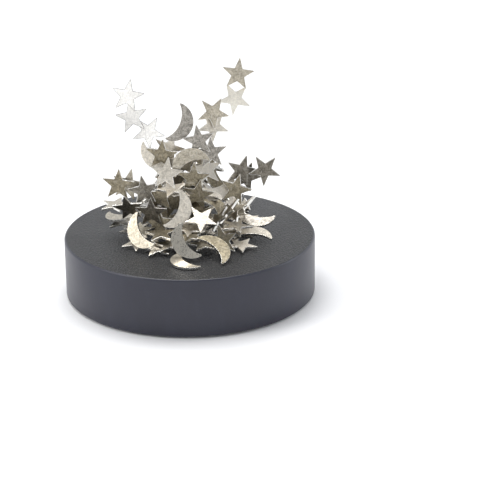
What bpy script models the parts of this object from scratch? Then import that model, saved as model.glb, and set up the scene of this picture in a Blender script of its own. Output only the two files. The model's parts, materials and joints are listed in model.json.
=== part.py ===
"""Magnetic desk sculpture.

A round base holds a ring magnet under its roof.  Loose steel stars and moons cling to the roof and to
each other: a heap in the middle, two arms that reach up and two short branches at the sides.

Metres, +Z up.  The origin is at the middle of the underside, where the object rests.
"""
import math

import bmesh
import bpy
from mathutils import Matrix, Vector
from mathutils.bvhtree import BVHTree

MM = 0.001
GAP = 0.3 * MM                      # clearance between pieces that rest on each other

# Base housing: a turned shell, open at the bottom
BASE_RADIUS = 55.0 * MM
BASE_HEIGHT = 26.5 * MM
WALL = 2.5 * MM
RIM_ROUND = 1.0 * MM                # rounding of the top edge
RIM_STEPS = 4
SKIRT_CHAMFER = 0.5 * MM
HOUSING_BOTTOM = 0.8 * MM           # the housing hangs clear of the desk, the pad carries it
TURN_STEPS = 80

# Magnet and what holds it up against the roof
MAGNET_RADIUS = 36.0 * MM
MAGNET_BORE = 16.0 * MM
MAGNET_THICK = 12.0 * MM
MAGNET_EDGE = 0.8 * MM              # chamfer of the ring's outer corners
KEEPER_RADIUS = 34.0 * MM
KEEPER_BORE = 5.0 * MM
KEEPER_THICK = 3.0 * MM
CUSHION_RADIUS = 30.0 * MM
LOCATING_RIB_DEPTH = 6.0 * MM
LOCATING_RIB_WALL = 2.0 * MM
MAGNET_STEPS = 64
CUSHION_STEPS = 48

# Bottom cover, its screws and the pad that hides them
PAD_RADIUS = 50.5 * MM
PAD_THICK = 1.5 * MM
COVER_THICK = 2.5 * MM
COVER_EDGE = 0.4 * MM               # chamfer round the cover
SCREW_COUNT = 3
SCREW_CIRCLE = 44.0 * MM
SCREW_SHANK_RADIUS = 1.3 * MM
SCREW_LENGTH = 10.0 * MM
SCREW_HEAD_RADIUS = 2.9 * MM
SCREW_HEAD_THICK = 1.0 * MM
SCREW_RECESS = 0.6 * MM             # depth of the driving recess
RECESS_RADIUS = 1.2 * MM
SCREW_SUNK = 0.05 * MM              # how far the head lies inside the cover's lower face
SCREW_TIP = 1.5 * MM                # length of the pointed end
SCREW_STEPS = 16
COUNTERBORE_DEPTH = 1.35 * MM
POST_RADIUS = 4.0 * MM
POST_STEPS = 20
HOLE_RADIUS = SCREW_SHANK_RADIUS + GAP
HOLE_STEPS = 12
SMOOTH_ANGLE = math.radians(35)     # edges sharper than this stay sharp in the shading

# Loose pieces, stamped from steel sheet
SHEET = 0.9 * MM
STAR_RADIUS = 7.7 * MM              # to the sharp point, before rounding
STAR_WAIST = 3.1 * MM               # radius of the inner corners
STAR_TIP_ROUND = 0.3 * MM
MOON_RADIUS = 8.6 * MM
MOON_WIDTH = 5.8 * MM               # widest part of the crescent
MOON_HORN = 0.5 * MM                # radius of the blunt horns
MOON_ARC_STEPS = 10
PLATE_REACH = 2.2 * MOON_RADIUS     # plates whose centres are further apart can't touch

# Node: (kind, centre from the middle of the base top in mm, (facing, tilt, spin) in degrees).
# Facing 0 looks to the front and 90 to the right, tilt 90 lies flat face up, spin turns the shape in
# its own plane.  A star's first point and a moon's horns aim up at spin 0.
LOOSE_PIECES = {
    # the two arms and what they stand on, from the top down
    "left_arm_star_1": ("star", (-25.5, 4.0, 62.0), (-4, 16, -10)),
    "left_arm_star_2": ("star", (-24.0, 5.5, 52.0), (0, 20, 10)),
    "left_arm_star_3": ("star", (-17.0, 4.0, 45.5), (0, 18, -32)),
    "left_arm_moon": ("moon", (-12.0, 1.5, 38.0), (-10, 14, -22)),
    "right_arm_star_1": ("star", (22.0, 3.5, 71.0), (0, 12, -8)),
    "right_arm_star_2": ("star", (20.5, 5.0, 59.5), (5, 24, 26)),
    "right_arm_star_3": ("star", (11.0, 2.0, 54.5), (5, 10, -32)),
    "right_arm_star_4": ("star", (11.0, 3.5, 48.0), (12, 14, 30)),
    "right_arm_star_5": ("star", (4.5, 1.0, 42.5), (5, 5, 7)),
    "right_arm_star_6": ("star", (10.0, 2.5, 36.0), (8, 4, 2)),
    "middle_moon_1": ("moon", (-6.0, 3.0, 50.5), (0, 8, 66)),
    "middle_moon_2": ("moon", (1.5, -1.5, 31.0), (0, 14, 205)),
    "middle_star_1": ("star", (-9.0, -2.5, 37.5), (-10, -4, -5)),
    "middle_star_2": ("star", (-8.0, 1.5, 38.0), (10, 6, -22)),
    # branches that reach out to the sides
    "right_branch_star_1": ("star", (23.0, 0.0, 28.5), (10, -2, -18)),
    "right_branch_star_2": ("star", (33.0, -2.5, 29.5), (0, 2, 32)),
    "right_branch_star_3": ("star", (25.0, 3.0, 24.5), (10, -5, -20)),
    "right_branch_star_4": ("star", (21.0, 1.0, 20.5), (-10, 5, -15)),
    "left_branch_star_1": ("star", (-30.5, -4.0, 24.5), (-10, 0, -4)),
    "left_branch_star_2": ("star", (-19.5, -7.0, 22.5), (5, 2, 8)),
    "left_branch_star_3": ("star", (-26.5, -1.0, 23.5), (5, 10, -16)),
    "left_branch_star_4": ("star", (-26.0, -6.0, 16.0), (-10, -25, 10)),
    # front of the heap
    "front_moon_1": ("moon", (-7.5, -14.0, 17.0), (-5, 20, 68)),
    "front_moon_2": ("moon", (-19.0, -20.0, 10.0), (-32, 26, -46)),
    "front_moon_4": ("moon", (0.0, -35.5, 0.8), (0, 88, -62)),
    "front_moon_3": ("moon", (0.5, -29.0, 6.8), (5, 40, -65)),
    "front_moon_5": ("moon", (8.5, -34.0, 3.0), (20, 62, 110)),
    "front_star_1": ("star", (5.0, -17.0, 12.5), (10, 55, 25)),
    "front_star_2": ("star", (14.5, -26.0, 5.0), (25, 40, -2)),
    "front_star_3": ("star", (22.0, -20.5, 1.6), (30, 84, 10)),
    "front_star_4": ("star", (-23.5, -17.5, 2.0), (-40, 75, 0)),
    "front_star_5": ("star", (-14.0, -23.5, 2.0), (-10, 80, 15)),
    "front_star_6": ("star", (-24.0, -2.0, 2.5), (-60, 78, 0)),
    "right_foot_moon_1": ("moon", (29.5, 6.0, 6.5), (10, 66, -25)),
    "right_foot_moon_2": ("moon", (27.0, -14.5, 2.5), (10, 76, 168)),
    "left_foot_moon": ("moon", (-28.5, 4.0, 9.0), (-90, 78, 60)),
    # upper heap
    "upper_star_1": ("star", (-9.5, -4.0, 29.0), (0, 20, -8)),
    "upper_star_2": ("star", (2.0, -5.0, 27.5), (0, 0, -4)),
    "upper_star_3": ("star", (3.5, -6.5, 20.5), (5, -4, -12)),
    "upper_star_4": ("star", (8.0, 1.5, 29.0), (10, 30, 5)),
    "upper_star_5": ("star", (-12.5, -4.5, 19.0), (0, 2, 0)),
    "upper_star_6": ("star", (-7.5, -2.0, 15.0), (0, 0, 20)),
    "upper_moon": ("moon", (11.5, 3.0, 23.0), (5, 28, 15)),
    # plates that stand on edge like a fan, right of the middle
    "fan_star_1": ("star", (22.0, -4.0, 11.0), (-86, 44, 0)),
    "fan_star_2": ("star", (16.5, -9.0, 13.0), (-88, 44, 10)),
    "fan_star_3": ("star", (22.5, 1.0, 12.5), (-84, 46, 0)),
    "fan_star_4": ("star", (13.0, -12.0, 9.5), (-84, 42, 20)),
    # core of the heap
    "core_moon": ("moon", (7.0, -3.0, 16.5), (10, 62, -90)),
    "core_star_1": ("star", (-16.0, -9.0, 14.5), (-10, -10, 0)),
    "core_star_2": ("star", (-14.0, -12.5, 9.0), (-10, 10, 0)),
    "core_star_3": ("star", (21.0, -9.0, 4.5), (20, 72, 10)),
}

# A piece that would touch one placed before it moves by these steps until it is clear
NUDGE_STEP = 0.25 * MM
NUDGE_STEPS = 40

BLACK_PLASTIC = ((0.030, 0.032, 0.036), 0.55, 0.0)
INNER_PLASTIC = ((0.045, 0.045, 0.050), 0.60, 0.0)
FERRITE = ((0.055, 0.052, 0.050), 0.50, 0.3)
MILD_STEEL = ((0.420, 0.415, 0.400), 0.38, 1.0)
SCREW_STEEL = ((0.500, 0.490, 0.460), 0.30, 1.0)
FOAM = ((0.080, 0.085, 0.095), 0.95, 0.0)
PAD_FOAM = ((0.018, 0.018, 0.020), 0.90, 0.0)
NICKEL = ((0.610, 0.585, 0.540), 0.32, 1.0)


def clear_scene():
    for obj in list(bpy.data.objects):
        bpy.data.objects.remove(obj, do_unlink=True)


def give_finish(obj, finish):
    colour, roughness, metallic = finish
    material = bpy.data.materials.new(obj.name + "_finish")
    material.use_nodes = True
    shader = material.node_tree.nodes["Principled BSDF"]
    shader.inputs["Base Color"].default_value = (*colour, 1.0)
    shader.inputs["Roughness"].default_value = roughness
    shader.inputs["Metallic"].default_value = metallic
    obj.data.materials.append(material)


def new_object(name, mesh_data, finish=None):
    """Put the bmesh into a named object with outward faces."""
    bmesh.ops.recalc_face_normals(mesh_data, faces=mesh_data.faces)
    mesh = bpy.data.meshes.new(name)
    mesh_data.to_mesh(mesh)
    mesh_data.free()
    obj = bpy.data.objects.new(name, mesh)
    bpy.context.collection.objects.link(obj)
    if finish:
        give_finish(obj, finish)
    return obj


def turned(name, profile, finish=None, steps=TURN_STEPS, centre=(0.0, 0.0)):
    """Turn a closed (radius, height) profile about a vertical axis; radius 0 closes on the axis."""
    shape = bmesh.new()
    rings = []
    for radius, height in profile:
        if radius == 0.0:
            rings.append([shape.verts.new((centre[0], centre[1], height))])
            continue
        ring = []
        for step in range(steps):
            angle = math.tau * step / steps
            x = centre[0] + radius * math.cos(angle)
            y = centre[1] + radius * math.sin(angle)
            ring.append(shape.verts.new((x, y, height)))
        rings.append(ring)
    for lower, upper in zip(rings, rings[1:] + rings[:1]):
        if len(lower) == 1 and len(upper) == 1:
            continue
        for step in range(steps):
            after = (step + 1) % steps
            corners = [lower[step % len(lower)], lower[after % len(lower)],
                       upper[after % len(upper)], upper[step % len(upper)]]
            unique = list(dict.fromkeys(corners))
            shape.faces.new(unique)
    obj = new_object(name, shape, finish)
    obj.data.shade_smooth()
    obj.data.set_sharp_from_angle(angle=SMOOTH_ANGLE)
    return obj


def combine(obj, tool, operation):
    """Apply a Boolean with a tool object and take the tool away."""
    modifier = obj.modifiers.new(operation.lower(), "BOOLEAN")
    modifier.operation = operation
    modifier.solver = "EXACT"
    modifier.object = tool
    bpy.context.view_layer.update()
    evaluated = obj.evaluated_get(bpy.context.evaluated_depsgraph_get())
    result = bpy.data.meshes.new_from_object(evaluated)
    old = obj.data
    obj.modifiers.clear()
    obj.data = result
    bpy.data.meshes.remove(old)
    bpy.data.objects.remove(tool, do_unlink=True)


def screw_places():
    for index in range(SCREW_COUNT):
        angle = math.tau * index / SCREW_COUNT + math.pi / 2
        yield SCREW_CIRCLE * math.cos(angle), SCREW_CIRCLE * math.sin(angle)


def build_housing():
    roof = BASE_HEIGHT - WALL
    inner = BASE_RADIUS - WALL
    rib_inner = MAGNET_RADIUS + GAP
    rib_outer = rib_inner + LOCATING_RIB_WALL
    rib_bottom = roof - LOCATING_RIB_DEPTH
    profile = [(0.0, BASE_HEIGHT)]
    for step in range(RIM_STEPS + 1):
        angle = math.pi / 2 * (1 - step / RIM_STEPS)
        profile.append((BASE_RADIUS - RIM_ROUND + RIM_ROUND * math.cos(angle),
                        BASE_HEIGHT - RIM_ROUND + RIM_ROUND * math.sin(angle)))
    profile += [(BASE_RADIUS, HOUSING_BOTTOM + SKIRT_CHAMFER),
                (BASE_RADIUS - SKIRT_CHAMFER, HOUSING_BOTTOM),
                (inner, HOUSING_BOTTOM), (inner, roof),
                (rib_outer, roof), (rib_outer, rib_bottom),
                (rib_inner, rib_bottom), (rib_inner, roof), (0.0, roof)]
    housing = turned("base_housing", profile, BLACK_PLASTIC)
    post_bottom = cover_top() + GAP
    for place in screw_places():
        post = turned("post_tool", cylinder_profile(POST_RADIUS, post_bottom, roof + WALL / 2),
                      steps=POST_STEPS, centre=place)
        combine(housing, post, "UNION")
        hole_top = post_bottom + SCREW_LENGTH
        hole = turned("hole_tool", cylinder_profile(HOLE_RADIUS, post_bottom - WALL, hole_top),
                      steps=HOLE_STEPS, centre=place)
        combine(housing, hole, "DIFFERENCE")


def cylinder_profile(radius, bottom, top):
    return [(0.0, bottom), (radius, bottom), (radius, top), (0.0, top)]


def ring_profile(inner, outer, bottom, top, edge=0.0):
    """Profile of a ring, with an optional chamfer on its outer corners."""
    if edge == 0.0:
        return [(inner, bottom), (outer, bottom), (outer, top), (inner, top)]
    return [(inner, bottom), (outer - edge, bottom), (outer, bottom + edge),
            (outer, top - edge), (outer - edge, top), (inner, top)]


def cover_bottom():
    return PAD_THICK + GAP


def cover_top():
    return cover_bottom() + COVER_THICK


def build_magnet_stack():
    """Ring magnet under the roof, steel keeper below it, foam that presses both up."""
    magnet_top = BASE_HEIGHT - WALL - GAP
    magnet_bottom = magnet_top - MAGNET_THICK
    keeper_top = magnet_bottom - GAP
    keeper_bottom = keeper_top - KEEPER_THICK
    turned("ring_magnet", ring_profile(MAGNET_BORE, MAGNET_RADIUS, magnet_bottom, magnet_top,
                                       MAGNET_EDGE), FERRITE, steps=MAGNET_STEPS)
    turned("magnet_keeper", ring_profile(KEEPER_BORE, KEEPER_RADIUS, keeper_bottom, keeper_top),
           MILD_STEEL, steps=MAGNET_STEPS)
    turned("magnet_cushion", cylinder_profile(CUSHION_RADIUS, cover_top() + GAP,
                                              keeper_bottom - GAP), FOAM, steps=CUSHION_STEPS)


def build_cover_and_pad():
    edge_radius = BASE_RADIUS - WALL - GAP
    bottom, top = cover_bottom(), cover_top()
    profile = [(0.0, bottom), (edge_radius - COVER_EDGE, bottom), (edge_radius, bottom + COVER_EDGE),
               (edge_radius, top), (0.0, top)]
    cover = turned("bottom_cover", profile, INNER_PLASTIC)
    sink_radius = SCREW_HEAD_RADIUS + GAP
    sink_top = bottom + COUNTERBORE_DEPTH
    for place in screw_places():
        tool_profile = [(0.0, bottom - WALL), (sink_radius, bottom - WALL), (sink_radius, sink_top),
                        (HOLE_RADIUS, sink_top), (HOLE_RADIUS, top + WALL), (0.0, top + WALL)]
        sink = turned("sink_tool", tool_profile, steps=SCREW_STEPS, centre=place)
        combine(cover, sink, "DIFFERENCE")
    turned("foot_pad", cylinder_profile(PAD_RADIUS, 0.0, PAD_THICK), PAD_FOAM)


def build_screws():
    head_bottom = cover_bottom() + SCREW_SUNK
    head_top = head_bottom + SCREW_HEAD_THICK
    recess_top = head_bottom + SCREW_RECESS
    shank_top = head_top + SCREW_LENGTH
    profile = [(0.0, recess_top), (RECESS_RADIUS, recess_top), (RECESS_RADIUS, head_bottom),
               (SCREW_HEAD_RADIUS, head_bottom), (SCREW_HEAD_RADIUS, head_top),
               (SCREW_SHANK_RADIUS, head_top), (SCREW_SHANK_RADIUS, shank_top - SCREW_TIP),
               (0.0, shank_top)]
    for number, place in enumerate(screw_places(), start=1):
        turned(f"cover_screw_{number}", profile, SCREW_STEEL, steps=SCREW_STEPS, centre=place)


def arc(centre, radius, start, end, steps):
    """Points from one angle to the other, both ends included, angles in radians."""
    points = []
    for step in range(steps + 1):
        angle = start + (end - start) * step / steps
        points.append((centre[0] + radius * math.cos(angle), centre[1] + radius * math.sin(angle)))
    return points


def star_outline(grow=0.0):
    """Five points with rounded tips; grow moves every edge outwards."""
    corner = math.pi / 5
    edge = math.hypot(STAR_RADIUS - STAR_WAIST * math.cos(corner), STAR_WAIST * math.sin(corner))
    inradius = STAR_RADIUS * STAR_WAIST * math.sin(corner) / edge
    scale = 1 + grow / inradius
    half_tip = math.asin(inradius / STAR_RADIUS)
    tip_centre = STAR_RADIUS - STAR_TIP_ROUND / math.sin(half_tip)
    sweep = math.pi / 2 - half_tip
    points = []
    for index in range(5):
        aim = math.pi / 2 + 2 * corner * index
        centre = (tip_centre * math.cos(aim), tip_centre * math.sin(aim))
        points += arc(centre, STAR_TIP_ROUND, aim - sweep, aim + sweep, 2)
        points.append((STAR_WAIST * math.cos(aim + corner), STAR_WAIST * math.sin(aim + corner)))
    return [(x * scale, y * scale) for x, y in points]


def moon_outline(grow=0.0):
    """Crescent with its horns aimed up; grow moves every edge outwards."""
    inner_depth = MOON_RADIUS - MOON_WIDTH
    half_mouth = MOON_RADIUS - 2 * MOON_HORN
    hollow = (inner_depth ** 2 + half_mouth ** 2) / (2 * inner_depth)
    hollow_centre = hollow - inner_depth
    outer = MOON_RADIUS + grow
    hollow -= grow
    mouth = math.sqrt(hollow ** 2 - hollow_centre ** 2)
    horn = (outer - mouth) / 2
    turn = math.atan2(-hollow_centre, mouth)
    points = arc((0.0, 0.0), outer, math.pi, math.tau, MOON_ARC_STEPS)
    points += arc((outer - horn, 0.0), horn, 0.0, math.pi, 3)[1:-1]
    points += arc((0.0, hollow_centre), hollow, turn, -math.pi - turn, MOON_ARC_STEPS)
    points += arc((horn - outer, 0.0), horn, 0.0, math.pi, 3)[1:-1]
    return points


OUTLINES = {"star": star_outline, "moon": moon_outline}


def plate_shape(kind, grow=0.0):
    """Corners and faces of a stamped plate lying in the XY plane, centred on the origin."""
    outline = OUTLINES[kind](grow)
    half = SHEET / 2 + grow
    count = len(outline)
    corners = [Vector((x, y, half)) for x, y in outline]
    corners += [Vector((x, y, -half)) for x, y in outline]
    faces = [list(range(count)), list(range(2 * count - 1, count - 1, -1))]
    for index in range(count):
        after = (index + 1) % count
        faces.append([after, index, count + index, count + after])
    return corners, faces


def attitude(facing, tilt, spin):
    """Rotation whose Z column is the plate's normal."""
    facing, tilt, spin = (math.radians(value) for value in (facing, tilt, spin))
    normal = Vector((math.sin(facing) * math.cos(tilt), -math.cos(facing) * math.cos(tilt),
                     math.sin(tilt)))
    right = Vector((math.cos(facing), math.sin(facing), 0.0))
    up = normal.cross(right)
    side = math.cos(spin) * right + math.sin(spin) * up
    top = math.cos(spin) * up - math.sin(spin) * right
    return Matrix((side, top, normal)).transposed()


def nudges(normal, place):
    """Small moves to try, nearest first: along the plate's normal, then up, then outwards."""
    yield Vector()
    outwards = Vector((place.x, place.y, 0.0)).normalized()
    for step in range(1, NUDGE_STEPS):
        distance = step * NUDGE_STEP
        for direction in (normal, -normal, Vector((0.0, 0.0, 1.0)), outwards):
            yield direction * distance


def settle(kind, place, rotation, placed):
    """Move the plate until it clears the base top and every plate placed before it."""
    corners, faces = plate_shape(kind, GAP)
    lowest_centre = BASE_HEIGHT - min((rotation @ corner).z for corner in corners)
    place.z = max(place.z, lowest_centre)
    for nudge in nudges(rotation.col[2], place):
        centre = place + nudge
        centre.z = max(centre.z, lowest_centre)
        tree = BVHTree.FromPolygons([rotation @ corner + centre for corner in corners], faces)
        near = (other for other_centre, other in placed
                if (other_centre - centre).length < PLATE_REACH)
        if not any(tree.overlap(other) for other in near):
            return centre
    raise RuntimeError("no free place for a loose piece")


def build_loose_pieces():
    placed = []
    for name, (kind, millimetres, angles) in LOOSE_PIECES.items():
        place = Vector(millimetres) * MM + Vector((0.0, 0.0, BASE_HEIGHT))
        rotation = attitude(*angles)
        centre = settle(kind, place, rotation, placed)
        corners, faces = plate_shape(kind)
        placed.append((centre, BVHTree.FromPolygons([rotation @ c + centre for c in corners], faces)))
        shape = bmesh.new()
        verts = [shape.verts.new(corner) for corner in corners]
        for face in faces:
            shape.faces.new([verts[index] for index in face])
        obj = new_object(name, shape, NICKEL)
        obj.matrix_world = Matrix.Translation(centre) @ rotation.to_4x4()


def main():
    clear_scene()
    build_housing()
    build_magnet_stack()
    build_cover_and_pad()
    build_screws()
    build_loose_pieces()


main()
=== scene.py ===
"""Looks of the magnetic desk sculpture: black base, stamped steel stars and moons, studio."""
import json
import math
import random

import bmesh
import bpy
import numpy as np
from bpy.props import FloatProperty, FloatVectorProperty, IntProperty, PointerProperty
from bpy.types import Operator, Panel, PropertyGroup
from mathutils import Matrix, Vector
from mathutils.bvhtree import BVHTree

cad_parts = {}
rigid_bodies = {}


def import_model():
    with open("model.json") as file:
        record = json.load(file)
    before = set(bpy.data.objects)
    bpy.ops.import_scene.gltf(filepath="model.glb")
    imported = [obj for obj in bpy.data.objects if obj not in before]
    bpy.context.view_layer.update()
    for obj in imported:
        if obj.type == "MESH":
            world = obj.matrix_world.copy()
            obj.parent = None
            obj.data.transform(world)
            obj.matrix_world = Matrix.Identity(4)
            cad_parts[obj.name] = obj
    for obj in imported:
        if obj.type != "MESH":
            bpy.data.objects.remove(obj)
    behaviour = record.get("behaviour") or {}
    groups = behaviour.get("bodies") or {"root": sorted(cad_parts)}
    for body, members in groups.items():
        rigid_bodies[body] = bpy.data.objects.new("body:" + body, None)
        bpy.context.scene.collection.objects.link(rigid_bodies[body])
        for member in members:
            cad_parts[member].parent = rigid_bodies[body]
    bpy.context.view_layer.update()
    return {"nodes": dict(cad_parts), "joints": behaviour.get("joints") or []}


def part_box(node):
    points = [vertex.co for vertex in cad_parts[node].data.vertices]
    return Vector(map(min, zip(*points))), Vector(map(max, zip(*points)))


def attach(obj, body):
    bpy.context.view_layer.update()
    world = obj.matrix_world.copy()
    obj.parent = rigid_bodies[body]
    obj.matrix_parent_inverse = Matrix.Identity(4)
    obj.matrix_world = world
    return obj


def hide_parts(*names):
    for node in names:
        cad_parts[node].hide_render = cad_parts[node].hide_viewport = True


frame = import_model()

bl_info = {
    "name": "Magnetic Desk Sculpture",
    "version": (1, 0, 0),
    "blender": (4, 5, 0),
    "location": "3D View > Sidebar > Sculpture",
    "description": "Builds the looks of a magnetic base with a heap of loose steel stars and moons",
    "category": "Object",
}

MM = 0.001
SHELL_LOW, SHELL_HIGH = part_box("base_housing")
BASE_RADIUS = (SHELL_HIGH.x - SHELL_LOW.x) / 2
BASE_TOP = SHELL_HIGH.z
PULL = {joint["child"]: joint for joint in frame["joints"]}
STARS = sorted(name for name in frame["nodes"] if "_star" in name)
MOONS = sorted(name for name in frame["nodes"] if "_moon" in name)


# ---------------------------------------------------------------- settings

def length_value(name, description, default):
    return FloatProperty(name=name, description=description, default=default, unit="LENGTH")


def colour_value(name, description, default):
    return FloatVectorProperty(name=name, description=description, subtype="COLOR", size=3,
                               min=0.0, max=1.0, default=default)


class BaseSettings(PropertyGroup):
    """Sizes and colours of the base."""
    wall: length_value("Wall", "Thickness of the housing's wall and roof", 2.5 * MM)
    rim_round: length_value("Rim Rounding", "Radius of the top edge", 1.0 * MM)
    side_colour: colour_value("Side Colour", "Smooth black plastic of the wall",
                              (0.021, 0.022, 0.035))
    top_colour: colour_value("Top Colour", "Grained black plastic of the top",
                             (0.019, 0.019, 0.021))


class PlateSettings(PropertyGroup):
    """Sizes and colour of the stamped plates."""
    sheet: length_value("Sheet", "Thickness of the steel sheet", 1.0 * MM)
    star_radius: length_value("Star Radius", "From the middle to the sharp point, before rounding",
                              7.7 * MM)
    star_waist: length_value("Star Waist", "From the middle to an inner corner", 3.1 * MM)
    star_tip: length_value("Star Tip", "Rounding of a star's points", 0.3 * MM)
    moon_radius: length_value("Moon Radius", "Outer radius of the crescent", 8.6 * MM)
    moon_width: length_value("Moon Width", "Widest part of the crescent", 5.8 * MM)
    moon_horn: length_value("Moon Horn", "Radius of the blunt horns", 0.5 * MM)
    rolled_edge: length_value("Rolled Edge", "Rounding on the side that the punch entered",
                              0.17 * MM)
    sheared_edge: length_value("Sheared Edge", "Rounding on the other side", 0.09 * MM)
    nickel: colour_value("Nickel", "Colour of the nickel plating", (0.68, 0.635, 0.565))


class HeapSettings(PropertyGroup):
    """How the rest of the heap is filled."""
    seed: IntProperty(name="Seed", description="Start of the random draws", default=11)
    inside: IntProperty(
        name="Inside", description="Attempts to place a plate in the core", default=5000)
    foot: IntProperty(
        name="Foot", description="Attempts to place a flat plate at the front foot", default=3000)
    outside: IntProperty(
        name="Outside", description="Attempts to drop a plate on the back", default=420)
    radius: length_value("Heap Radius", "Radius of the heap where it meets the base", 33.0 * MM)
    height: length_value("Heap Height", "Height of the heap above the base", 37.0 * MM)
    gap: length_value("Gap", "Smallest gap between plates", 0.12 * MM)


class StageSettings(PropertyGroup):
    """Floor, light and camera."""
    floor_colour: colour_value("Floor", "Colour of the floor", (0.86, 0.86, 0.87))
    room_light: FloatProperty(
        name="Room Light", description="Strength of the light from the pale walls", default=1.2)
    ceiling_light: FloatProperty(
        name="Ceiling Light", description="Strength of the light from the dim ceiling",
        default=0.16)
    key_light: FloatProperty(
        name="Key Light", description="Power of the main softbox in watts", default=12.0)
    elevation: FloatProperty(
        name="Elevation", description="Height of the camera above the horizon",
        default=math.radians(20.99), unit="ROTATION")
    distance: length_value("Distance", "From the camera to the middle of the base's top", 0.8795)
    lens: FloatProperty(
        name="Lens", description="Focal length of the camera in millimetres", default=144.0)


# ---------------------------------------------------------------- mesh tools

EDGE_ANGLE = 40.0                     # degrees between two faces that makes their edge sharp
FLAT_WEIGHT = 50                      # how far large flats outweigh small faces in the shading
MERGE_DISTANCE = 0.002 * MM


def deselect_all():
    bpy.ops.object.select_all(action="DESELECT")


def select_only(obj):
    deselect_all()
    obj.select_set(True)
    bpy.context.view_layer.objects.active = obj


def start_edit(obj):
    """Make obj the only selected object and open it with nothing selected."""
    select_only(obj)
    bpy.ops.object.mode_set(mode="EDIT")
    bpy.ops.mesh.select_all(action="DESELECT")


def end_edit():
    bpy.ops.object.mode_set(mode="OBJECT")


def select_parts(obj, kind, test):
    """Select the faces, edges or verts of the open mesh for which test holds."""
    bpy.ops.mesh.select_all(action="DESELECT")
    bpy.ops.mesh.select_mode(type=kind)
    shape = bmesh.from_edit_mesh(obj.data)
    parts = {"FACE": shape.faces, "EDGE": shape.edges, "VERT": shape.verts}[kind]
    for part in parts:
        part.select_set(bool(test(part)))
    if kind == "VERT":
        shape.select_flush_mode()
    bmesh.update_edit_mesh(obj.data)


def select_faces(obj, test):
    select_parts(obj, "FACE", test)


def select_edges(obj, test):
    select_parts(obj, "EDGE", test)


def select_verts(obj, test):
    select_parts(obj, "VERT", test)


def edge_direction(edge):
    return (edge.verts[1].co - edge.verts[0].co).normalized()


def is_upright(edge):
    return abs(edge_direction(edge).z) > 0.9


def middle(edge):
    return (edge.verts[0].co + edge.verts[1].co) / 2


def settle_transform(obj):
    """Bring the object to the origin, unturned and unscaled, with its place in its mesh."""
    obj.data.transform(obj.matrix_basis)
    obj.matrix_basis = Matrix.Identity(4)


def add_cylinder(name, radius, low, high, vertices, place=(0.0, 0.0)):
    deselect_all()
    bpy.ops.mesh.primitive_cylinder_add(
        vertices=vertices, radius=radius, depth=high - low,
        location=(place[0], place[1], (low + high) / 2))
    obj = bpy.context.object
    obj.name = name
    settle_transform(obj)
    return obj


def apply_boolean(obj, tool, operation):
    modifier = obj.modifiers.new("cut", "BOOLEAN")
    modifier.operation = operation
    modifier.solver = "EXACT"
    modifier.object = tool
    select_only(obj)
    bpy.ops.object.modifier_apply(modifier=modifier.name)
    bpy.data.objects.remove(tool, do_unlink=True)


def shade_by_angle(obj, degrees=32.0):
    select_only(obj)
    bpy.ops.object.shade_smooth_by_angle(angle=math.radians(degrees))


def settle_normals(obj):
    """Let the large flats decide the shading, so that only the rounded edges shade round."""
    shade_by_angle(obj, EDGE_ANGLE)
    modifier = obj.modifiers.new("normals", "WEIGHTED_NORMAL")
    modifier.mode = "FACE_AREA"
    modifier.weight = FLAT_WEIGHT
    modifier.keep_sharp = True
    bpy.ops.object.modifier_apply(modifier=modifier.name)


def copy_node(node, name):
    """A merged copy of a CAD node's mesh, without the extra edges of its flat faces."""
    deselect_all()
    mesh = frame["nodes"][node].data.copy()
    obj = bpy.data.objects.new(name, mesh)
    bpy.context.scene.collection.objects.link(obj)
    mesh.materials.clear()
    start_edit(obj)
    bpy.ops.mesh.select_all(action="SELECT")
    bpy.ops.mesh.remove_doubles(threshold=MERGE_DISTANCE)
    bpy.ops.mesh.dissolve_limited(angle_limit=math.radians(1.0))
    end_edit()
    return obj


def round_sharp_edges(obj, width):
    modifier = obj.modifiers.new("edges", "BEVEL")
    modifier.width = width
    modifier.segments = 2
    modifier.limit_method = "ANGLE"
    modifier.angle_limit = math.radians(EDGE_ANGLE)
    modifier.harden_normals = False
    select_only(obj)
    bpy.ops.object.modifier_apply(modifier=modifier.name)


def hand_over(obj, body, nodes=()):
    """Let the piece ride on a body, and let it stand for the CAD nodes that it replaces."""
    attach(obj, body)
    if nodes:
        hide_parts(*nodes)


# ---------------------------------------------------------------- shader node groups

def new_group(name, inputs, outputs):
    """A shader node group: inputs are (name, type, default), outputs are (name, type)."""
    group = bpy.data.node_groups.new(name, "ShaderNodeTree")
    for label, kind, default in inputs:
        socket = group.interface.new_socket(label, in_out="INPUT", socket_type=kind)
        socket.default_value = default
    for label, kind in outputs:
        group.interface.new_socket(label, in_out="OUTPUT", socket_type=kind)
    return group, group.nodes.new("NodeGroupInput"), group.nodes.new("NodeGroupOutput")


def add_noise(tree, scale, detail, roughness, coordinates):
    """A noise node whose scale and coordinates come from sockets."""
    noise = tree.nodes.new("ShaderNodeTexNoise")
    noise.inputs["Detail"].default_value = detail
    noise.inputs["Roughness"].default_value = roughness
    tree.links.new(scale, noise.inputs["Scale"])
    tree.links.new(coordinates, noise.inputs["Vector"])
    return noise


def add_math(tree, operation, first, second):
    """A math node; each side is a socket or a number."""
    node = tree.nodes.new("ShaderNodeMath")
    node.operation = operation
    for index, value in enumerate((first, second)):
        if isinstance(value, (int, float)):
            node.inputs[index].default_value = value
        else:
            tree.links.new(value, node.inputs[index])
    return node.outputs[0]


def add_range(tree, value, low, high, out_low, out_high):
    node = tree.nodes.new("ShaderNodeMapRange")
    tree.links.new(value, node.inputs["Value"])
    node.inputs["From Min"].default_value = low
    node.inputs["From Max"].default_value = high
    node.inputs["To Min"].default_value = out_low
    node.inputs["To Max"].default_value = out_high
    return node.outputs["Result"]


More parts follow.
